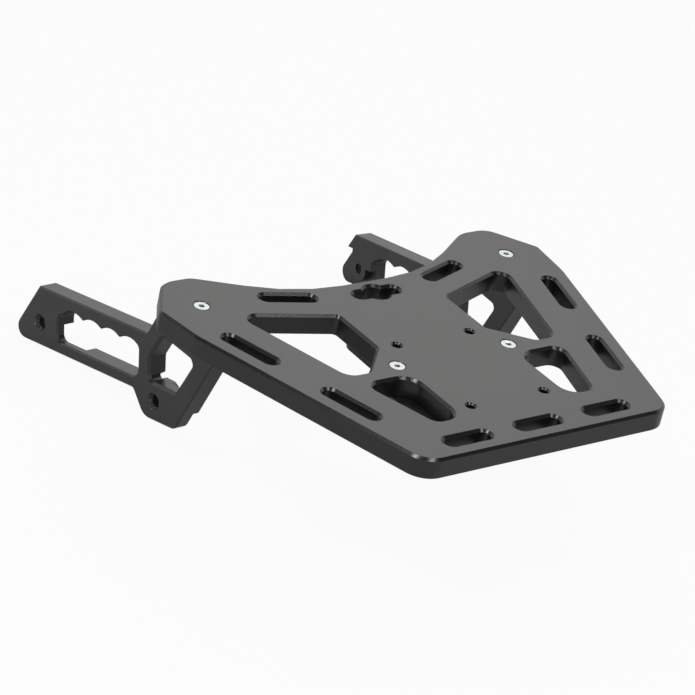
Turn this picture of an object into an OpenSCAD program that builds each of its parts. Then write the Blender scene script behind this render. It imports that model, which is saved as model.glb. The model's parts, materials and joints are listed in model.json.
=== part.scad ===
// Motorcycle luggage rack in thick machined aluminium plate.
// X is to the right, Y points forward on the motorcycle and Z is up.
// The origin lies on the top face, in the middle of the four adapter holes.

/* [Top plate] */
// Thickness of the plate
plate_thickness = 16; // [14:0.5:20]
// Chamfer round the top edge and every opening
plate_chamfer = 2; // [1:0.1:2.2]
// Smaller chamfer on the underside
under_chamfer = 0.5; // [0.4:0.1:1.2]
// Rear edge, behind the origin
plate_rear = 95.5; // [94:0.5:100]
// Front edge on the centre line, ahead of the origin
plate_front = 132; // [131:0.5:136]
// Tips of the ears, ahead of the origin
ear_front = 175; // [172:0.5:180]
// Half width at the rear corners
rear_half_width = 114; // [112:0.5:118]
// Half width where the sides bend into the ears
waist_half_width = 175; // [173:0.5:179]
// Half width across the ears
ear_half_width = 180.5; // [180:0.5:184]

/* [Cut-outs] */
// Width of the strap slots
slot_width = 11; // [8:0.5:12]
// Length of the four side slots
side_slot_length = 48; // [36:1:52]
// Length of the three rear slots
rear_slot_length = 40.5; // [30:0.5:42]
// Length of the two front slots
front_slot_length = 44; // [32:1:45]
// Distance from the side edge to the middle of the side slots
side_slot_inset = 19.5; // [17:0.5:21]
// Length of the slot across the front centre cut-out
nose_slot_length = 42; // [30:1:46]
// Radius of the round middle of the front centre cut-out
nose_radius = 10; // [8:0.5:11]
// Clear length across the wide front openings, seen from the centre line
front_opening_reach = 75; // [70:0.5:76]

/* [Adapter holes] */
// Spacing of the four adapter holes across the rack
adapter_spacing_x = 68.5; // [60:0.5:72]
// Spacing of the four adapter holes along the rack
adapter_spacing_y = 87.5; // [80:0.5:92]
// Diameter of the adapter holes
adapter_hole = 6.6; // [5:0.1:7]

/* [Screws] */
// Thread diameter of the countersunk screws
screw_thread = 6; // [5:0.1:6.4]
// Diameter of the screw heads
screw_head = 12; // [11:0.1:12.4]
// Across flats of the hexagon socket
socket_flats = 4; // [3:0.1:4.5]
// Depth of the hexagon socket
socket_depth = 2.3; // [1.5:0.1:2.6]
// Depth of the heads below the top face
head_sink = 0.3; // [0.1:0.1:0.8]
// Length of the screws that hold the arms
arm_screw_length = 35; // [30:0.5:40]
// Length of the screws that hold the centre support
support_screw_length = 24; // [20:0.5:26]
// Play round a thread and under a head, on the radius
screw_play = 0.05; // [0.02:0.01:0.1]
// Play round a screw where it passes the top plate, on the radius
plate_play = 0.3; // [0.2:0.05:0.4]

/* [Arms] */
// Thickness of the arms
arm_thickness = 16; // [14:0.5:20]
// Chamfer on the outer edges of the arms
arm_chamfer = 1.2; // [0.6:0.1:1.4]
// Smaller chamfer on their inner edges
inner_chamfer = 0.6; // [0.4:0.1:1.2]
// Chamfer round the outer side of the rear window
window_chamfer = 2.2; // [1:0.1:2.4]
// Distance of each arm screw from the centre line
arm_screw_x = 145; // [142:0.5:148]
// Distance of the arm screws ahead of the origin
arm_screw_y = 135.6; // [132:0.1:138]
// Outward splay of the arms
arm_splay = 3.1; // [0:0.1:5]
// Downward slope of the grab handles
arm_slope = 13.3; // [12:0.1:15]
// Height of the grab handle bar, measured square to it
handle_height = 47.3; // [46:0.1:50]
// Length of the top edge of the grab handle
handle_length = 135.8; // [134:0.2:140]
// Solid height of the foot above the rear window
foot_height = 24; // [20:0.5:26]
// Spacing of the finger scallops
finger_pitch = 23; // [22.5:0.1:23.2]
// Angle at which each scallop meets its neighbour, from the bar
finger_angle = 30; // [24:0.5:31]
// Diameter of the bolt holes
bolt_hole = 8.5; // [8:0.1:10]
// Diameter of the countersink round the bolt holes
bolt_sink = 14; // [12:0.5:16]
// Depth milled away on the inner side of the front lug
pocket_depth = 9.5; // [8:0.5:10]
// Height left on the front boss above the milled face
boss_height = 5.5; // [3:0.5:6]
// Half width of the front boss
front_boss_radius = 10; // [8.5:0.5:11]
// Depth milled away on the inner side of the lower lug
lower_pocket_depth = 5.5; // [4:0.5:7]
// Radius of the lower boss
lower_boss_radius = 15.4; // [13:0.2:16]
// Radius of the face milled round the lower boss
lower_pocket_radius = 29.3; // [27:0.1:31]

/* [Centre support] */
// Thickness of the centre support
support_thickness = 10; // [9:0.5:14]
// Distance of each support screw from the centre line
support_screw_x = 52.5; // [50:0.5:54]
// Distance of the support screws ahead of the origin
support_screw_y = 19.4; // [16:0.2:22]
// Half width of the support at its screws
support_half_width = 66; // [62:0.5:68]
// Half width of the forward tongue of the support
tongue_half_width = 43; // [41:0.5:46]

/* [Hidden] */
$fn = 72;
arc_step = 12;
skin = 0.1;
side_bend_y = 99;
ear_side_y = 137.5;
plate_bottom = -plate_thickness;
window_top = plate_bottom - foot_height;
head_cone = (screw_head - screw_thread) / 2;
handle_top = -34.4;
handle_bottom = handle_top - handle_height;
handle_start = 53.6;
front_hole = [187.5, handle_top - 29.5];
lower_hole = [43.6, handle_bottom - 3.6];
slot_lean = atan((waist_half_width - rear_half_width) / (side_bend_y + plate_rear));
plate_colour = "#6b6b68";
arm_colour = "#4c4c4e";
support_colour = "#2b2b2e";
zinc_colour = "#d8dbde";

// Unit vector along v
function unit(v) = v / norm(v);

// Angle through which an outline turns at corner b, left turns above zero
function turn(a, b, c) = atan2(cross(b - a, c - b), (b - a) * (c - b));

// Centre of the arc of radius r that rounds the corner b between a and c
function arc_centre(a, b, c, r) =
    b + unit(unit(a - b) + unit(c - b)) * r / cos(turn(a, b, c) / 2);

// Points of the arc that rounds the corner b; an inset moves it towards the left of the outline
function arc(a, b, c, r, inset) =
    let (bend = turn(a, b, c),
        middle = arc_centre(a, b, c, r),
        side = sign(bend),
        start = atan2(b.y - a.y, b.x - a.x) - 90 * side,
        steps = max(1, ceil(abs(bend) / arc_step)))
    [for (i = [0 : steps])
        middle + (r - side * inset) * [cos(start + bend * i / steps), sin(start + bend * i / steps)]];

// Outline through corners given as [x, y, radius], counterclockwise, moved in by inset
function outline(corners, inset = 0) =
    let (n = len(corners))
    [for (i = [0 : n - 1])
        let (a = corners[(i + n - 1) % n], b = corners[i], c = corners[(i + 1) % n])
        each arc([a.x, a.y], [b.x, b.y], [c.x, c.y], b[2], inset)];

// Corners of the right half, from the rear, completed with their mirror image
function both_sides(right) =
    concat(right, [for (i = [len(right) - 1 : -1 : 0]) [-right[i].x, right[i].y, right[i][2]]]);

// Corners mirrored to the left side of the rack, still counterclockwise
function mirrored(corners) =
    [for (i = [len(corners) - 1 : -1 : 0]) [-corners[i].x, corners[i].y, corners[i][2]]];

// Solid with the same outline at several heights, each level given from the bottom up as [inset, height].
// An outline with hollow corners takes a hub that sees all of it: both ends are then wedges round the hub
module layered(corners, levels, hub = undef) {
    rings = [for (level = levels) outline(corners, level[0])];
    n = len(rings[0]);
    last = len(levels) - 1;
    middles = is_undef(hub) ? [] : [[hub.x, hub.y, levels[0][1]], [hub.x, hub.y, levels[last][1]]];
    points = concat([for (k = [0 : last]) for (p = rings[k]) [p.x, p.y, levels[k][1]]], middles);
    walls = [for (k = [0 : last - 1]) for (i = [0 : n - 1])
        [k * n + i, (k + 1) * n + i, (k + 1) * n + (i + 1) % n, k * n + (i + 1) % n]];
    ends = is_undef(hub)
        ? [[for (i = [0 : n - 1]) i], [for (i = [n - 1 : -1 : 0]) last * n + i]]
        : [for (i = [0 : n - 1]) each [[(last + 1) * n, i, (i + 1) % n],
            [(last + 1) * n + 1, last * n + (i + 1) % n, last * n + i]]];
    polyhedron(points, concat(walls, ends));
}

// Plate of an outline from z_lower to z_upper with both edges chamfered
module chamfered_plate(corners, z_lower, z_upper, lower_chamfer, upper_chamfer, hub = undef) {
    layered(corners, [[lower_chamfer, z_lower], [0, z_lower + lower_chamfer],
        [0, z_upper - upper_chamfer], [upper_chamfer, z_upper]], hub);
}

// Cutter for an opening through a plate, flared into a chamfer at both faces
module opening(corners, z_lower, z_upper, lower_chamfer, upper_chamfer) {
    layered(corners, [[-lower_chamfer - skin, z_lower - skin], [0, z_lower + lower_chamfer],
        [0, z_upper - upper_chamfer], [-upper_chamfer - skin, z_upper + skin]]);
}

// Cutter for a round hole through the top plate, chamfered at the top
module plate_hole(diameter, chamfer) {
    translate([0, 0, plate_bottom - 1])
        cylinder(d = diameter, h = plate_thickness + 2);
    translate([0, 0, -chamfer])
        cylinder(d1 = diameter, d2 = diameter + 2 * (chamfer + skin), h = chamfer + skin);
}

// Cutter for a slot with round ends along X, chamfered at the top face
module slot(length) {
    span = length - slot_width;
    half = slot_width / 2;
    flare = plate_chamfer + skin;
    for (side = [-1, 1])
        translate([side * span / 2, 0, 0]) {
            translate([0, 0, plate_bottom - 1])
                cylinder(r = half, h = plate_thickness + 2);
            translate([0, 0, -plate_chamfer])
                cylinder(r1 = half, r2 = half + flare, h = flare);
        }
    rotate([90, 0, 90])
        translate([0, 0, -span / 2])
            linear_extrude(span)
                polygon([[-half, plate_bottom - 1], [half, plate_bottom - 1], [half, -plate_chamfer],
                    [half + flare, skin], [-half - flare, skin], [-half, -plate_chamfer]]);
}

// Point on the grab handle: s runs along it to the front, t square to it and up
function on_handle(s, t) =
    [s * cos(arm_slope) + t * sin(arm_slope), t * cos(arm_slope) - s * sin(arm_slope)];

// Corner on the grab handle with its radius
function handle_corner(s, t, r) = [on_handle(s, t).x, on_handle(s, t).y, r];

// Corners of the plate's edge
plate_corners = both_sides([
    [rear_half_width, -plate_rear, 20],
    [waist_half_width, side_bend_y, 30],
    [ear_half_width, ear_side_y, 6],
    [155, ear_front, 18],
    [129.5, ear_front, 16],
    [61, plate_front, 140]]);

// Corners of the wide front opening on the right
front_opening = [
    [78.6, 18.8, 7],
    [96.5, 18.8, 10],
    [51.5 + front_opening_reach, 116.7, 8],
    [51.7, 92.7, 4],
    [51.7, 45.2, 4]];

// Corners of the bean-shaped rear opening on the right
rear_opening = [
    [51.2, -53, 12],
    [73, -53, 7],
    [92.1, 5, 8],
    [51.2, 5, 13]];

// Corners of the arm's edge, seen from the right with forward to the right
arm_corners = [
    handle_corner(69, handle_bottom, 5),
    handle_corner(handle_start + handle_length + 36.8, handle_bottom, 8.5),
    handle_corner(handle_start + handle_length, handle_top, 2),
    handle_corner(handle_start, handle_top, 4),
    [33, plate_bottom, 2],
    [-38, plate_bottom, 2],
    handle_corner(18, handle_bottom - 18.3, 10),
    handle_corner(55.9, handle_bottom - 18.3, 12)];

// Point at the elbow of the arm, from which its whole edge can be seen
arm_hub = [25, handle_top - 31];

// Corners of the window in the rear of the arm
rear_window = [
    [2, -73.4, 3],
    [32, -79.7, 5],
    [36, -62.3, 4],
    [26.6, window_top, 4],
    [-11.8, window_top, 4]];

// Grab handle window: four finger scallops along its upper edge
fingers = 4;
first_finger = 145.3;
window_front = 164.7;
window_rear = 63.3;
cusp_radius = 1.6;
cusp_level = handle_top - 13.2;
peak_level = cusp_level + finger_pitch / 2 * tan(finger_angle);
half_edge = finger_pitch / 2 / cos(finger_angle);
finger_radius = half_edge / tan(finger_angle) - cusp_radius - 0.2;
last_finger = first_finger - (fingers - 1) * finger_pitch;
handle_window = concat(
    [handle_corner(window_rear, handle_bottom + 9.2, 8),
        handle_corner(window_front, handle_bottom + 9.2, 6),
        handle_corner(window_front, peak_level - (window_front - first_finger) * tan(finger_angle), 7)],
    [for (i = [0 : fingers - 1]) each concat(
        [handle_corner(first_finger - i * finger_pitch, peak_level, finger_radius)],
        i < fingers - 1 ? [handle_corner(first_finger - (i + 0.5) * finger_pitch, cusp_level, cusp_radius)] : [])],
    [handle_corner(window_rear, peak_level - (last_finger - window_rear) * tan(finger_angle), 4)]);

// Area milled away on the inner side round the front boss
front_pocket = [
    handle_corner(129.5, handle_bottom - 9, 3),
    handle_corner(250, handle_bottom - 9, 3),
    handle_corner(250, handle_top - 12.6, 3),
    handle_corner(front_hole.x - front_boss_radius - 0.4, handle_top - 12.6, 3),
    handle_corner(front_hole.x - front_boss_radius - 0.4, handle_top - 25.6, 3),
    handle_corner(140, handle_top - 25.6, 3)];

// Edge of the boss round the front bolt hole
front_boss_corners = [
    handle_corner(front_hole.x - front_boss_radius, front_hole.y - front_boss_radius, front_boss_radius - 0.1),
    handle_corner(front_hole.x + front_boss_radius, front_hole.y - front_boss_radius, front_boss_radius - 0.1),
    handle_corner(front_hole.x + front_boss_radius, handle_top - 11.5, 1),
    handle_corner(front_hole.x - front_boss_radius, handle_top - 11.5, 1)];

// Moves its children onto the arm at s along and t square to the grab handle
module at_handle(s, t, height = 0) {
    place = on_handle(s, t);
    translate([place.x, place.y, height])
        children();
}

// Arm lying flat: x forward, y up and z towards the outer side
module arm_blank() {
    half = arm_thickness / 2;
    difference() {
        union() {
            difference() {
                chamfered_plate(arm_corners, -half, half, inner_chamfer, arm_chamfer, arm_hub);
                translate([0, 0, -half - 1])
                    linear_extrude(1 + pocket_depth)
                        polygon(outline(front_pocket));
            }
            translate([0, 0, pocket_depth - half - boss_height])
                linear_extrude(boss_height + 1)
                    polygon(outline(front_boss_corners));
        }
        lower_pocket();
        opening(handle_window, -half, half, inner_chamfer, arm_chamfer);
        opening(rear_window, -half, half, inner_chamfer, window_chamfer);
        at_handle(front_hole.x, front_hole.y)
            bolt_cutter();
        at_handle(lower_hole.x, lower_hole.y)
            bolt_cutter();
        rotate([90, 0, 0])
            translate([0, 0, -plate_bottom - 1])
                cylinder(d = screw_thread + 2 * screw_play, h = foot_height + 2);
    }
}

// Cutter that faces the inner side of the lower lug but leaves its boss
module lower_pocket() {
    half = arm_thickness / 2;
    difference() {
        at_handle(37.4, handle_bottom - 11.2, -half - 1)
            cylinder(r = lower_pocket_radius, h = 1 + lower_pocket_depth);
        at_handle(lower_hole.x, lower_hole.y, -half - 2)
            cylinder(r = lower_boss_radius, h = 4 + lower_pocket_depth);
    }
}

// Cutter for a bolt hole through the arm, countersunk from the outer side
module bolt_cutter() {
    half = arm_thickness / 2;
    depth = (bolt_sink - bolt_hole) / 2;
    translate([0, 0, -half - 2])
        cylinder(d = bolt_hole, h = arm_thickness + 4);
    translate([0, 0, half - depth])
        cylinder(d1 = bolt_hole, d2 = bolt_sink + 2 * skin, h = depth + skin);
}

// Arm in its place on the right side of the rack
module placed_arm() {
    translate([arm_screw_x, arm_screw_y, 0])
        rotate([0, 0, -arm_splay])
            rotate([90, 0, 90])
                arm_blank();
}

// Countersunk hexagon socket screw with its head just below the top face
module screw(length) {
    difference() {
        translate([0, 0, -head_sink])
            rotate([180, 0, 0])
                rotate_extrude()
                    polygon([[0, 0], [screw_head / 2, 0], [screw_head / 2, 0.3],
                        [screw_thread / 2, 0.3 + head_cone], [screw_thread / 2, length - head_sink - 0.8],
                        [screw_thread / 2 - 0.8, length - head_sink], [0, length - head_sink]]);
        translate([0, 0, -head_sink - socket_depth])
            cylinder(d = socket_flats / cos(30), h = socket_depth + 1, $fn = 6);
    }
}

// Cutter for a countersunk screw hole through the top plate
module screw_seat() {
    sink_radius = screw_head / 2 + screw_play;
    depth = sink_radius - screw_thread / 2 - plate_play;
    translate([0, 0, plate_bottom - 1])
        cylinder(r = screw_thread / 2 + plate_play, h = plate_thickness + 2);
    translate([0, 0, -head_sink - 0.3 - depth])
        cylinder(r1 = screw_thread / 2 + plate_play, r2 = sink_radius + head_sink + 0.3 + skin,
            h = depth + head_sink + 0.3 + skin);
}

// Carrier plate with its slots, openings and holes
module top_plate() {
    color(plate_colour)
        difference() {
            chamfered_plate(plate_corners, plate_bottom, 0, under_chamfer, plate_chamfer);
            for (corners = [front_opening, rear_opening]) {
                opening(corners, plate_bottom, 0, under_chamfer, plate_chamfer);
                opening(mirrored(corners), plate_bottom, 0, under_chamfer, plate_chamfer);
            }
            strap_slots();
            nose_cut_out();
            for (x = [-1, 1]) {
                for (y = [-1, 1])
                    translate([x * adapter_spacing_x / 2, y * adapter_spacing_y / 2, 0])
                        plate_hole(adapter_hole, 1.4);
                translate([x * arm_screw_x, arm_screw_y, 0])
                    screw_seat();
                translate([x * support_screw_x, support_screw_y, 0])
                    screw_seat();
            }
        }
}

// Point on the centre line of the side slots at height y on the plan
function beside_edge(y) =
    [rear_half_width + (y + plate_rear) * tan(slot_lean) - side_slot_inset / cos(slot_lean), y];

// Cutters for the nine strap slots
module strap_slots() {
    for (x = [-1, 0, 1])
        translate([x * 64.7, -78.3, 0])
            slot(rear_slot_length);
    for (side = [0, 1])
        mirror([side, 0, 0]) {
            for (y = [71.8, -14.2])
                translate(beside_edge(y))
                    rotate([0, 0, 90 - slot_lean])
                        slot(side_slot_length);
            translate([73.4, 127, 0])
                rotate([0, 0, 17.5])
                    slot(front_slot_length);
        }
}

// Cutter for the front centre cut-out: a slot with a round middle
module nose_cut_out() {
    translate([0, 114.4, 0]) {
        slot(nose_slot_length);
        plate_hole(2 * nose_radius, plate_chamfer);
    }
}

// Arm on the left side, the mirror image of the right one
module left_arm() {
    color(arm_colour)
        mirror([1, 0, 0])
            placed_arm();
}

// Arm on the right side
module right_arm() {
    color(arm_colour)
        placed_arm();
}

// Plate under the middle of the rack
module centre_support() {
    corners = both_sides([
        [60, -52, 10],
        [support_half_width, 30, 9],
        [tongue_half_width + 1, 45, 8],
        [tongue_half_width, 93, 10]]);
    color(support_colour)
        difference() {
            chamfered_plate(corners, plate_bottom - support_thickness, plate_bottom, 1, 0.5, [0, 0]);
            for (x = [-1, 1]) {
                translate([x * support_screw_x, support_screw_y, plate_bottom - support_thickness - 1])
                    cylinder(d = screw_thread + 2 * screw_play, h = support_thickness + 2);
                for (y = [-1, 1])
                    translate([x * adapter_spacing_x / 2, y * adapter_spacing_y / 2,
                        plate_bottom - support_thickness - 1])
                        cylinder(d = adapter_hole, h = support_thickness + 2);
            }
        }
}

// Screw through the left ear into the left arm
module left_arm_screw() {
    color(zinc_colour)
        translate([-arm_screw_x, arm_screw_y, 0])
            screw(arm_screw_length);
}

// Screw through the right ear into the right arm
module right_arm_screw() {
    color(zinc_colour)
        translate([arm_screw_x, arm_screw_y, 0])
            screw(arm_screw_length);
}

// Screw through the plate into the left side of the centre support
module left_support_screw() {
    color(zinc_colour)
        translate([-support_screw_x, support_screw_y, 0])
            screw(support_screw_length);
}

// Screw through the plate into the right side of the centre support
module right_support_screw() {
    color(zinc_colour)
        translate([support_screw_x, support_screw_y, 0])
            screw(support_screw_length);
}

top_plate();
left_arm();
right_arm();
centre_support();
left_arm_screw();
right_arm_screw();
left_support_screw();
right_support_screw();
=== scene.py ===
import json
import math
import bpy
import numpy as np
from mathutils import Matrix, Vector


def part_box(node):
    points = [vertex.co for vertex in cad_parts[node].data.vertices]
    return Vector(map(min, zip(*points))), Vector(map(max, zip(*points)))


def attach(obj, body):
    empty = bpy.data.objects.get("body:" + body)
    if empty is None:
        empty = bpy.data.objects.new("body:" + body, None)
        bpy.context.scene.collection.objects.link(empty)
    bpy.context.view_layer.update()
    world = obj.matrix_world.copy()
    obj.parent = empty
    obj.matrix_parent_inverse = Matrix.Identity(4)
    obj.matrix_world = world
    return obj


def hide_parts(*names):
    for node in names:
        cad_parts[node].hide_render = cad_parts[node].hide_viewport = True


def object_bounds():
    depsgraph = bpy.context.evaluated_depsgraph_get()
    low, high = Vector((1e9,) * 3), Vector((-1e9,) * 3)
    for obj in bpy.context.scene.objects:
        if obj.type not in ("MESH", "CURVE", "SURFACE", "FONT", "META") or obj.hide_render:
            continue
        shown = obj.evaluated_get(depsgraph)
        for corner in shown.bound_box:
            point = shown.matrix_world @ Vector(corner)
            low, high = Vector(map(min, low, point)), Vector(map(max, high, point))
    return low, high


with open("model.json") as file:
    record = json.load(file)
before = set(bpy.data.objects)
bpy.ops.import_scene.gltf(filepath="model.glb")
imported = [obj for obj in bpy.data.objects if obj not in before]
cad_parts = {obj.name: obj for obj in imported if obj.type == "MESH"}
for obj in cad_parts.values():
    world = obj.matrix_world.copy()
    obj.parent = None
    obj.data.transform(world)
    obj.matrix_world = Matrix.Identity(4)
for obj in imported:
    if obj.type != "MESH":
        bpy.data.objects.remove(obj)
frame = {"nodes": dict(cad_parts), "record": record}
cad_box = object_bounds()


# Top plate

# The carrier plate is milled from 16 mm aluminium, bead-blasted, and dyed
# black in the anodising bath. Its edges are chamfered and broken by hand,
# and the arms and the centre support are screwed up against its underside.
def linear(code):
    """An sRGB hex colour as linear RGBA: the standard sRGB curve, channel by channel."""
    srgb = [int(code[i:i + 2], 16) / 255 for i in (1, 3, 5)]
    return [c / 12.92 if c <= 0.04045 else ((c + 0.055) / 1.055) ** 2.4 for c in srgb] + [1]


def add(tree, kind, settings=None, **links):
    """Adds one node. A key of settings is a property, an input's name or an input's number. A key of links is
    the input that a socket feeds: its name with _ for each space, or _ and its number."""
    node = tree.nodes.new(kind)
    for name, value in (settings or {}).items():
        if isinstance(name, int) or name in node.inputs:
            node.inputs[name].default_value = value
        else:
            setattr(node, name, value)
    for name, source in links.items():
        tree.links.new(source, node.inputs[int(name[1:]) if name[1:].isdigit() else name.replace("_", " ")])
    return node


# black anodised aluminium: the dyed oxide is nearly black, and its sealed
# skin gives the even satin that looks mid-grey against a bright wall
cloud_width = 0.0625
pit_width = 0.0005
flute_spacing = 0.0008
broken_edge = 0.0004
rubbed_patch = 1 / 90

plate_anodised = bpy.data.materials.new("bead-blasted black anodised aluminium")
plate_anodised.use_nodes = True
tree = plate_anodised.node_tree
surface = tree.nodes["Principled BSDF"]
surface.inputs["Metallic"].default_value = 0
surface.inputs["IOR"].default_value = 1.54
coordinates = add(tree, "ShaderNodeTexCoord", {"name": "coordinates"})
place = coordinates.outputs["Object"]

# the bath dyes the plate a little unevenly, in clouds some 60 mm across
clouds = add(tree, "ShaderNodeTexNoise", {"Scale": 1 / cloud_width, "Detail": 3, "Roughness": 0.5},
             Vector=place)
dye_and_painted_light = add(tree, "ShaderNodeValToRGB", {"name": "dye_and_painted_light"}, _0=clouds.outputs["Fac"])
for stop, position, code in zip(dye_and_painted_light.color_ramp.elements, (0.3, 0.7), ("#121213", "#19191a")):
    stop.position = position
    stop.color = linear(code)

# the blasting pits are 0.1 mm wide, drawn 0.5 mm wide so that they show
pits = add(tree, "ShaderNodeTexNoise", {"Scale": 1 / pit_width, "Detail": 2, "Roughness": 0.6}, Vector=place)

# the end mill leaves upright flutes on every wall, deepest there; the
# chamfers are cut last and stay the smoothest
stretched = add(tree, "ShaderNodeMapping", {"name": "flute direction", "Scale": (1, 1, 0.02)}, Vector=place)
flutes = add(tree, "ShaderNodeTexNoise", {"Scale": 1 / flute_spacing, "Detail": 1, "Roughness": 0.5},
             Vector=stretched.outputs["Vector"])
facing = add(tree, "ShaderNodeVectorMath", {"name": "broad face", "operation": "DOT_PRODUCT", 1: (0, 0, 1)},
             _0=coordinates.outputs["Normal"])
flatness = add(tree, "ShaderNodeMath", {"operation": "ABSOLUTE"}, _0=facing.outputs["Value"])
flat_face = add(tree, "ShaderNodeMapRange", {"From Min": 0.8, "From Max": 0.9}, Value=flatness.outputs[0])
wall = add(tree, "ShaderNodeMapRange", {"From Min": 0.6, "From Max": 0.3}, Value=flatness.outputs[0])
depth = add(tree, "ShaderNodeMapRange", {"To Min": 0.8, "To Max": 5}, Value=wall.outputs["Result"])
deep = add(tree, "ShaderNodeMath", {"operation": "MULTIPLY"}, _0=flutes.outputs["Fac"],
           _1=depth.outputs["Result"])
grain = add(tree, "ShaderNodeMix", None, Factor=flat_face.outputs["Result"], _2=deep.outputs[0],
            _3=pits.outputs["Fac"])

# blasted faces scatter the light most, walls less and chamfers least
blasted = add(tree, "ShaderNodeMapRange", {"From Min": 0.3, "From Max": 0.7, "To Min": 0.35, "To Max": 0.43},
              Value=pits.outputs["Fac"])
cut = add(tree, "ShaderNodeMapRange", {"To Min": 0.22, "To Max": 0.28}, Value=wall.outputs["Result"])
fluted = add(tree, "ShaderNodeMath", {"operation": "MULTIPLY_ADD", 1: 0.1}, _0=flutes.outputs["Fac"],
             _2=cut.outputs["Result"])
satin = add(tree, "ShaderNodeMix", None, Factor=flat_face.outputs["Result"], _2=fluted.outputs[0],
            _3=blasted.outputs["Result"])

# straps and hands have rubbed the broken edges paler, in patches 11 mm wide, and the same pale edges are a
# painted highlight for the light that the edges catch
rounded = add(tree, "ShaderNodeBevel", {"samples": 6, "Radius": broken_edge})
flat = add(tree, "ShaderNodeNewGeometry").outputs["Normal"]
bend = add(tree, "ShaderNodeVectorMath", {"operation": "DOT_PRODUCT"}, _0=rounded.outputs["Normal"], _1=flat)
edge = add(tree, "ShaderNodeMapRange", {"From Min": 0.99, "From Max": 0.85}, Value=bend.outputs["Value"])
rub = add(tree, "ShaderNodeTexNoise", {"Scale": 1 / rubbed_patch, "Detail": 4, "Roughness": 0.65},
          Vector=place)
rub_and_highlight_patches = add(tree, "ShaderNodeMapRange", {"From Min": 0.45, "From Max": 0.8, "To Min": 0.05, "To Max": 0.5},
             Value=rub.outputs["Fac"])
wear_and_edge_highlight = add(tree, "ShaderNodeMath", {"operation": "MULTIPLY"}, _0=edge.outputs["Result"],
           _1=rub_and_highlight_patches.outputs["Result"])
# painted highlight and wear: the edges are mixed towards a pale grey
colour = add(tree, "ShaderNodeMix", {"data_type": "RGBA", 7: linear("#8c8c8a")}, Factor=wear_and_edge_highlight.outputs[0],
             _6=dye_and_painted_light.outputs["Color"])
relief = add(tree, "ShaderNodeBump", {"name": "relief", "Strength": 0.12, "Distance": 0.0002},
             Height=grain.outputs[0], Normal=rounded.outputs["Normal"])
tree.links.new(colour.outputs[2], surface.inputs["Base Color"])
tree.links.new(satin.outputs[0], surface.inputs["Roughness"])
tree.links.new(relief.outputs["Normal"], surface.inputs["Normal"])

# a CAD mesh is loose triangles: they are joined for shading, and an edge
# that turns more than 25 degrees stays crisp
crease = math.radians(25)
smooth_shade = bpy.data.node_groups.new("smooth round stretches", "GeometryNodeTree")
smooth_shade.interface.new_socket("Geometry", in_out="INPUT", socket_type="NodeSocketGeometry")
smooth_shade.interface.new_socket("Geometry", in_out="OUTPUT", socket_type="NodeSocketGeometry")
given = add(smooth_shade, "NodeGroupInput").outputs[0]
merged = add(smooth_shade, "GeometryNodeMergeByDistance", {"Distance": 1e-6}, Geometry=given)
soft = add(smooth_shade, "GeometryNodeSetShadeSmooth", {"Shade Smooth": True}, Geometry=merged.outputs[0])
angle = add(smooth_shade, "GeometryNodeInputMeshEdgeAngle").outputs["Unsigned Angle"]
sharp = add(smooth_shade, "FunctionNodeCompare", {"operation": "GREATER_THAN", 1: crease}, _0=angle)
crisp = add(smooth_shade, "GeometryNodeSetShadeSmooth", {"domain": "EDGE", "Shade Smooth": False},
            Geometry=soft.outputs[0], Selection=sharp.outputs[0])
add(smooth_shade, "NodeGroupOutput", None, _0=crisp.outputs[0])


def finish_node(name, material):
    """Gives a CAD node its finish, and shades its round stretches smooth."""
    piece = frame["nodes"][name]
    piece.data.materials.clear()
    piece.data.materials.append(material)
    piece.modifiers.new("shade", "NODES").node_group = smooth_shade
    weighted = piece.modifiers.new("weight", "WEIGHTED_NORMAL")
    weighted.keep_sharp = True
    weighted.weight = 90


finish_node("top_plate", plate_anodised)


# Arms

# The two arms are cut from the same plate as the top and stand on edge, a
# mirror pair, each with a foot screwed up under an ear of the top plate.
# Their broad faces are left as the face mill made them, then dyed black.
arm_slope = math.radians(13.3)
mill_line = 0.0009
wave_period = 0.314

arm_anodised = plate_anodised.copy()
arm_anodised.name = "milled black anodised aluminium"
tree = arm_anodised.node_tree
place = tree.nodes["coordinates"].outputs["Object"]

# painted light: the arms' black is painted a shade paler than the plate's, for the light that their upright
# faces catch
for stop, code in zip(tree.nodes["dye_and_painted_light"].color_ramp.elements, ("#1d1c1c", "#262524")):
    stop.color = linear(code)

# the broad faces look sideways, and the end mill works across the arm
tree.nodes["broad face"].inputs[1].default_value = (1, 0, 0)
tree.nodes["flute direction"].inputs["Scale"].default_value = (0.02, 1, 1)

# the face mill leaves fine lines square to the grab handle; a Wave texture
# of scale 1 repeats every 0.314 m, and the lines are drawn twice as wide
along = add(tree, "ShaderNodeMapping", {"Rotation": (arm_slope, 0, 0)}, Vector=place)
lines = add(tree, "ShaderNodeTexWave",
            {"bands_direction": "Y", "Scale": wave_period / mill_line / 2, "Distortion": 1.5, "Detail": 2,
             "Detail Scale": 0.6}, Vector=along.outputs["Vector"])
milled = add(tree, "ShaderNodeBump", {"Strength": 0.06, "Distance": 0.0001},
             Height=lines.outputs["Fac"], Normal=tree.nodes["relief"].outputs["Normal"])

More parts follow.
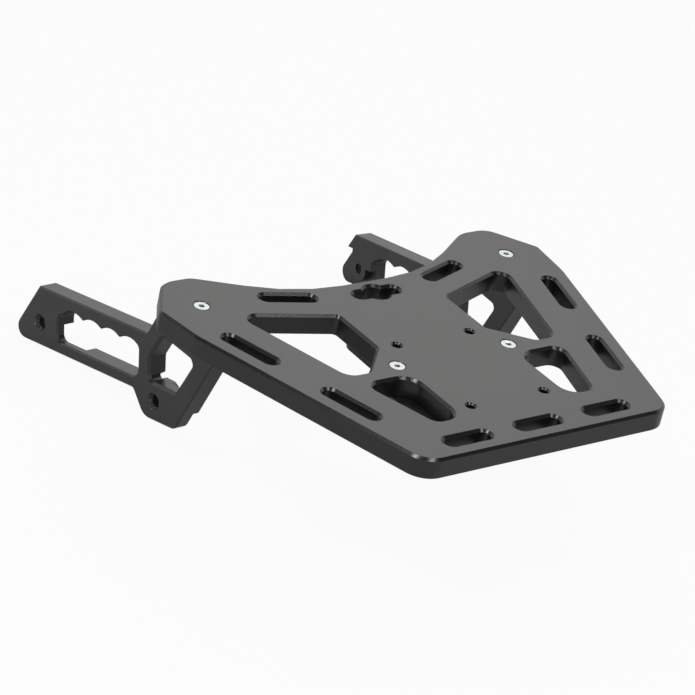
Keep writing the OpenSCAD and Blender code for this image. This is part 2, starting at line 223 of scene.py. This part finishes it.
# the cutter chattered in the countersinks and left ridges round each bolt
# hole, seen from the side as bent spokes that fade at the rim
mounts = {mount["name"]: mount["pos_m"] for mount in frame["record"]["mounts"]}
lower_hole = (0, *mounts["right_lower_bolt_hole"][1:])
front_hole = (0, *mounts["right_front_bolt_hole"][1:])
between_holes = (lower_hole[1] + front_hole[1]) / 2
chatter_ridges = 22
chatter_rim = 0.0076
chatter_fade = 0.001
chatter_bend = 1 / 300
across = add(tree, "ShaderNodeMapping", {"Scale": (0, 1, 1)}, Vector=place)
forward = add(tree, "ShaderNodeSeparateXYZ", None, Vector=across.outputs["Vector"])
ahead = add(tree, "ShaderNodeMath", {"operation": "GREATER_THAN", 1: between_holes}, _0=forward.outputs["Y"])
middle = add(tree, "ShaderNodeMix", {"data_type": "VECTOR", 4: lower_hole, 5: front_hole},
             Factor=ahead.outputs[0])
spoke = add(tree, "ShaderNodeVectorMath", {"operation": "SUBTRACT"}, _0=across.outputs["Vector"],
            _1=middle.outputs[1])
reach = add(tree, "ShaderNodeVectorMath", {"operation": "LENGTH"}, _0=spoke.outputs["Vector"])
legs = add(tree, "ShaderNodeSeparateXYZ", None, Vector=spoke.outputs["Vector"])
turned = add(tree, "ShaderNodeMath", {"operation": "ARCTAN2"}, _0=legs.outputs["Z"], _1=legs.outputs["Y"])
wander = add(tree, "ShaderNodeTexNoise", {"Scale": 1 / chatter_bend, "Detail": 1}, Vector=place)
shaken = add(tree, "ShaderNodeMath", {"operation": "MULTIPLY", 1: 9}, _0=wander.outputs["Fac"])
round_hole = add(tree, "ShaderNodeMath", {"operation": "MULTIPLY_ADD", 1: chatter_ridges},
                 _0=turned.outputs[0], _2=shaken.outputs[0])
ridges = add(tree, "ShaderNodeMath", {"operation": "SINE"}, _0=round_hole.outputs[0])
inside = add(tree, "ShaderNodeMapRange", {"From Min": chatter_rim, "From Max": chatter_rim - chatter_fade},
             Value=reach.outputs["Value"])
chatter = add(tree, "ShaderNodeMath", {"operation": "MULTIPLY"}, _0=ridges.outputs[0],
              _1=inside.outputs["Result"])
shaped = add(tree, "ShaderNodeBump", {"Strength": 0.7, "Distance": 0.00025},
             Height=chatter.outputs[0], Normal=milled.outputs["Normal"])
tree.links.new(shaped.outputs["Normal"], tree.nodes["Principled BSDF"].inputs["Normal"])
for name in ("left_arm", "right_arm"):
    finish_node(name, arm_anodised)


# Centre support

# A second, thinner plate stiffens the middle of the rack from below and
# takes the two short screws. It is blasted aluminium as well, and its black
# is painted deeper than the plate's as painted shade, so it reads as a shadow through the openings.
support_anodised = plate_anodised.copy()
support_anodised.name = "black anodised aluminium painted darker as shade"
# painted shade: the support's black is set darker than the plate's
for stop, code in zip(support_anodised.node_tree.nodes["dye_and_painted_light"].color_ramp.elements, ("#101011", "#151516")):
    stop.color = linear(code)
finish_node("centre_support", support_anodised)


# Screws

# Four M6 countersunk hexagon socket screws in zinc-plated steel: the head
# is turned, the socket punched and the thread rolled. The long pair holds
# the arms, and the short pair the centre support.
screw_head_radius = 0.0058
head_face_start = 0.0031
head_edge = 0.0002
head_rim = 0.0003
socket_across_flats = 0.004
socket_depth = 0.0023
socket_mouth = 0.00025
screw_thread_radius = 0.003
screw_pitch = 0.001
thread_depth = 0.0006
thread_start = 0.001
thread_run_in = 0.001
thread_run_out = 0.0005
tip_taper = 0.0008


def screw_surface(x, y, head_depth, tip_depth):
    """Points of a screw on a grid of rings by angles, and their radius, for the depths of its head and tip
    below the carrying face. The socket's rings are shares of a hexagon, whose radius is half the flats over
    the cosine of the angle from the nearest flat. The face and the cone are circles. On the shank the
    radius falls by the thread's depth and rises again along a helix, once in each pitch, and the thread
    fades out at both ends."""
    around = np.linspace(0, 2 * np.pi, 72, endpoint=False)
    hexagon = socket_across_flats / 2 / np.cos((around + np.pi / 6) % (np.pi / 3) - np.pi / 6)
    cone = screw_head_radius - screw_thread_radius
    length = tip_depth - head_depth

    face = np.linspace(head_face_start, screw_head_radius - head_edge, 6)
    share, beyond, head_height = np.array([
        (0.02, 0, -socket_depth), (0.5, 0, 0.0003 - socket_depth), (0.97, 0, 0.0006 - socket_depth),
        (1, 0, 0.0008 - socket_depth), (1, 0, -socket_mouth), (1, socket_mouth, 0), (1, 0.0004, 0),
        *np.stack([0 * face, face, 0 * face], -1),
        (0, screw_head_radius - 0.00006, -0.00006), (0, screw_head_radius, -head_edge),
        (0, screw_head_radius, -head_rim), (0, screw_thread_radius, -head_rim - cone),
        (0, screw_thread_radius, -0.0005 - cone)]).T[:, :, None]

    depth = np.arange(thread_start + cone, length, screw_pitch / 10)[:, None]
    run_in = np.clip((depth - depth[0]) / thread_run_in, 0, 1)
    run_out = np.clip((depth[-1] - depth) / thread_run_out, 0.2, 1)
    turn = (depth / screw_pitch + around / (2 * np.pi)) % 1
    crest = np.clip(2.4 * np.abs(turn - 0.5) - 0.2, 0, 1)
    taper = 1 - np.clip((length - depth) / tip_taper, 0, 1)
    shank = screw_thread_radius - thread_depth * (run_in * run_out * (1 - crest) + taper)

    radius = np.vstack([share * hexagon + beyond, shank, 0 * hexagon + 0.02 * screw_thread_radius])
    height = np.vstack([head_height, -depth, [[-length]]]) + 0 * around
    points = np.stack([x + radius * np.cos(around), y + radius * np.sin(around), height - head_depth], -1)
    return points, radius


def grid_mesh(name, points, radius):
    """A mesh from a grid of rings: quads between neighbouring rings, closed round and capped at both ends.
    Its UV map holds the radius and the height in millimetres."""
    rows, columns = points.shape[:2]
    index = np.arange(rows * columns).reshape(rows, columns)
    here, there = index[:-1], index[1:]
    quads = np.stack([here, there, np.roll(there, -1, 1), np.roll(here, -1, 1)], -1).reshape(-1, 4)
    faces = quads.tolist() + [index[0].tolist(), index[-1][::-1].tolist()]
    mesh = bpy.data.meshes.new(name)
    mesh.from_pydata(points.reshape(-1, 3).tolist(), [], faces)
    corners = np.empty(len(mesh.loops), dtype=np.int32)
    mesh.loops.foreach_get("vertex_index", corners)
    turned = np.stack([radius, points[..., 2]], -1).reshape(-1, 2) * 1000
    mesh.uv_layers.new(name="turned").data.foreach_set("uv", turned[corners].ravel())
    mesh.polygons.foreach_set("use_smooth", np.ones(len(mesh.polygons), dtype=bool))
    mesh.set_sharp_from_angle(angle=math.radians(30))
    return mesh


# bright zinc on turned steel: a cool, pale metal whose fine turning rings
# spread the light, so that the heads shine evenly on the dark plate
turning_ring = 0.25
plating_patch = 0.0025
zinc = bpy.data.materials.new("zinc-plated turned steel")
zinc.use_nodes = True
tree = zinc.node_tree
surface = tree.nodes["Principled BSDF"]
surface.inputs["Metallic"].default_value = 1
on_screw = add(tree, "ShaderNodeUVMap", {"uv_map": "turned"}).outputs["UV"]
place = add(tree, "ShaderNodeTexCoord").outputs["Object"]

# the plating's tone varies over a few millimetres, and the rings are drawn
# at their real spacing in a map that is measured in millimetres
plating = add(tree, "ShaderNodeTexNoise", {"Scale": 1 / plating_patch, "Detail": 3}, Vector=place)
tone = add(tree, "ShaderNodeValToRGB", _0=plating.outputs["Fac"])
for stop, code in zip(tone.color_ramp.elements, ("#9aa1a1", "#b7bcbd")):
    stop.color = linear(code)
rings = add(tree, "ShaderNodeTexWave",
            {"bands_direction": "X", "Scale": wave_period / turning_ring, "Distortion": 0.3}, Vector=on_screw)
shine = add(tree, "ShaderNodeMapRange", {"To Min": 0.22, "To Max": 0.36}, Value=rings.outputs["Fac"])
grooves = add(tree, "ShaderNodeBump", {"Strength": 0.1, "Distance": 0.00003}, Height=rings.outputs["Fac"])
tree.links.new(tone.outputs["Color"], surface.inputs["Base Color"])
tree.links.new(shine.outputs["Result"], surface.inputs["Roughness"])
tree.links.new(grooves.outputs["Normal"], surface.inputs["Normal"])

# each screw takes its axis and its depths from the frame, to a micrometre
for name in ("left_arm_screw", "right_arm_screw", "left_support_screw", "right_support_screw"):
    low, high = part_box(name)
    head_depth, tip_depth = round(-high[2], 6), round(-low[2], 6)
    points, radius = screw_surface((low[0] + high[0]) / 2, (low[1] + high[1]) / 2, head_depth, tip_depth)
    screw = bpy.data.objects.new(name + "_turned", grid_mesh(name, points, radius))
    screw.data.materials.append(zinc)
    bpy.context.scene.collection.objects.link(screw)
    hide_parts(name)
    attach(screw, "root")


# Studio and camera

# A pale floor just below the arms stands in a white room, with a long black
# flag overhead. A broad lamp hangs beyond the front of the rack, and two
# small ones, left and rear, put the glints on its rounded corners.
floor_radius = 6
floor_below_arms = 0.0005
floor_shown_white = 0.94
floor_in_gloss = 0.12
bpy.ops.mesh.primitive_circle_add(vertices=64, radius=floor_radius, fill_type="NGON",
                                  location=(0, 0, cad_box[0][2] - floor_below_arms))
floor = bpy.context.object
floor.name = "floor"
pale = bpy.data.materials.new("pale matt studio floor")
pale.use_nodes = True
tree = pale.node_tree
surface = tree.nodes["Principled BSDF"]
surface.inputs["Base Color"].default_value = linear("#dedede")
surface.inputs["Roughness"].default_value = 0.9
surface.inputs["Specular IOR Level"].default_value = 0.1

# the floor shows nearly white and keeps the rack's soft shadow, and is
# darker in gloss, because the rack's upright walls mirror it
path = add(tree, "ShaderNodeLightPath")
clear = add(tree, "ShaderNodeMath", {"operation": "MAXIMUM"}, _0=path.outputs["Is Camera Ray"],
            _1=path.outputs["Is Transmission Ray"])
plain = add(tree, "ShaderNodeMath", {"operation": "MULTIPLY", 1: floor_shown_white}, _0=clear.outputs[0])
mirrored = add(tree, "ShaderNodeMath", {"operation": "MULTIPLY", 1: floor_in_gloss},
               _0=path.outputs["Is Glossy Ray"])
share = add(tree, "ShaderNodeMath", {"operation": "MAXIMUM"}, _0=plain.outputs[0], _1=mirrored.outputs[0])
glow = add(tree, "ShaderNodeEmission", {"Color": linear("#ffffff"), "Strength": 1})
both = add(tree, "ShaderNodeMixShader", None, _0=share.outputs[0], _1=surface.outputs["BSDF"],
           _2=glow.outputs["Emission"])
tree.links.new(both.outputs["Shader"], tree.nodes["Material Output"].inputs["Surface"])
floor.data.materials.append(pale)

# the room is white to the camera and in gloss, and gives half as much light
room_light = 0.5
world = bpy.data.worlds.new("studio")
bpy.context.scene.world = world
world.use_nodes = True
tree = world.node_tree
sky = tree.nodes["Background"]
sky.inputs["Color"].default_value = linear("#ffffff")
path = add(tree, "ShaderNodeLightPath")
clear = add(tree, "ShaderNodeMath", {"operation": "MAXIMUM"}, _0=path.outputs["Is Glossy Ray"],
            _1=path.outputs["Is Transmission Ray"])
level = add(tree, "ShaderNodeMapRange", {"To Min": room_light, "To Max": 1}, Value=clear.outputs[0])
heading = add(tree, "ShaderNodeTexCoord").outputs["Generated"]

# the black flag is a band of directions that the chamfers mirror: within
# some 24 degrees of its middle line, and at most some 65 from its middle
flag_side = (0.527, 0.836, 0.149)
flag_middle = (-0.25, -0.45, 0.857)
flag_shift = 0.16
flag_side_fade = (0.46, 0.36)
flag_end_fade = (0.33, 0.46)
flag_white = 0.02
off_plane = add(tree, "ShaderNodeVectorMath", {"operation": "DOT_PRODUCT", 1: flag_side}, _0=heading)
off_line = add(tree, "ShaderNodeMath", {"operation": "ADD", 1: flag_shift}, _0=off_plane.outputs["Value"])
either_side = add(tree, "ShaderNodeMath", {"operation": "ABSOLUTE"}, _0=off_line.outputs[0])
width = add(tree, "ShaderNodeMapRange", {"From Min": flag_side_fade[0], "From Max": flag_side_fade[1]},
            Value=either_side.outputs[0])
near_middle = add(tree, "ShaderNodeVectorMath", {"operation": "DOT_PRODUCT", 1: flag_middle}, _0=heading)
extent = add(tree, "ShaderNodeMapRange", {"From Min": flag_end_fade[0], "From Max": flag_end_fade[1]},
             Value=near_middle.outputs["Value"])
flag = add(tree, "ShaderNodeMath", {"operation": "MULTIPLY"}, _0=width.outputs["Result"],
           _1=extent.outputs["Result"])
past = add(tree, "ShaderNodeMapRange", {"To Min": 1, "To Max": flag_white}, Value=flag.outputs[0])
dimmed = add(tree, "ShaderNodeMath", {"operation": "MULTIPLY"}, _0=level.outputs["Result"],
             _1=past.outputs["Result"])
shown = add(tree, "ShaderNodeMath", {"operation": "MAXIMUM"}, _0=dimmed.outputs[0],
            _1=path.outputs["Is Camera Ray"])
tree.links.new(shown.outputs[0], sky.inputs["Strength"])

warm, cool = (1, 0.97, 0.94), (0.9, 0.94, 1)
lamps_aim = Vector((0, 0.1, 0))
for name, size, power, location, tint in (("front", 1.6, 7.5, (0.9, 1.1, 1.3), warm),
                                          ("left", 0.5, 13, (-1.2, -0.1, 1.66), warm),
                                          ("rear", 0.5, 9, (0.02, -1.24, 1.64), cool)):
    lamp = bpy.data.lights.new(name, "AREA")
    lamp.shape = "DISK"
    lamp.size = size
    lamp.energy = power
    lamp.color = tint
    lit = bpy.data.objects.new(name, lamp)
    lit.location = location
    lit.rotation_euler = (lamps_aim - lit.location).to_track_quat("-Z", "Y").to_euler()
    bpy.context.scene.collection.objects.link(lit)

# the camera stands high behind the rack on its left and leans a little; its
# angle comes from half the photograph's width and the focal length in pixels
half_width_px = 347.5
focal_length_px = 3024.66
azimuth, elevation, roll = (math.radians(a) for a in (-42.647, 28.133, 12.807))
camera_aim = Vector((-0.073708, 0.051826, 0))
camera_distance = 2.16787
toward = Vector((math.sin(azimuth) * math.cos(elevation), -math.cos(azimuth) * math.cos(elevation),
                 math.sin(elevation)))
level_right = (-toward).cross(Vector((0, 0, 1))).normalized()
level_up = level_right.cross(-toward)
right = math.cos(roll) * level_right + math.sin(roll) * level_up
up = math.cos(roll) * level_up - math.sin(roll) * level_right
camera = bpy.data.objects.new("camera", bpy.data.cameras.new("camera"))
camera.matrix_world = (Matrix.Translation(camera_aim + camera_distance * toward)
                       @ Matrix((right, up, toward)).transposed().to_4x4())
camera.data.angle = 2 * math.atan(half_width_px / focal_length_px)
camera.data.clip_end = 50
bpy.context.scene.collection.objects.link(camera)
bpy.context.scene.camera = camera
bpy.context.scene.view_settings.view_transform = "Standard"
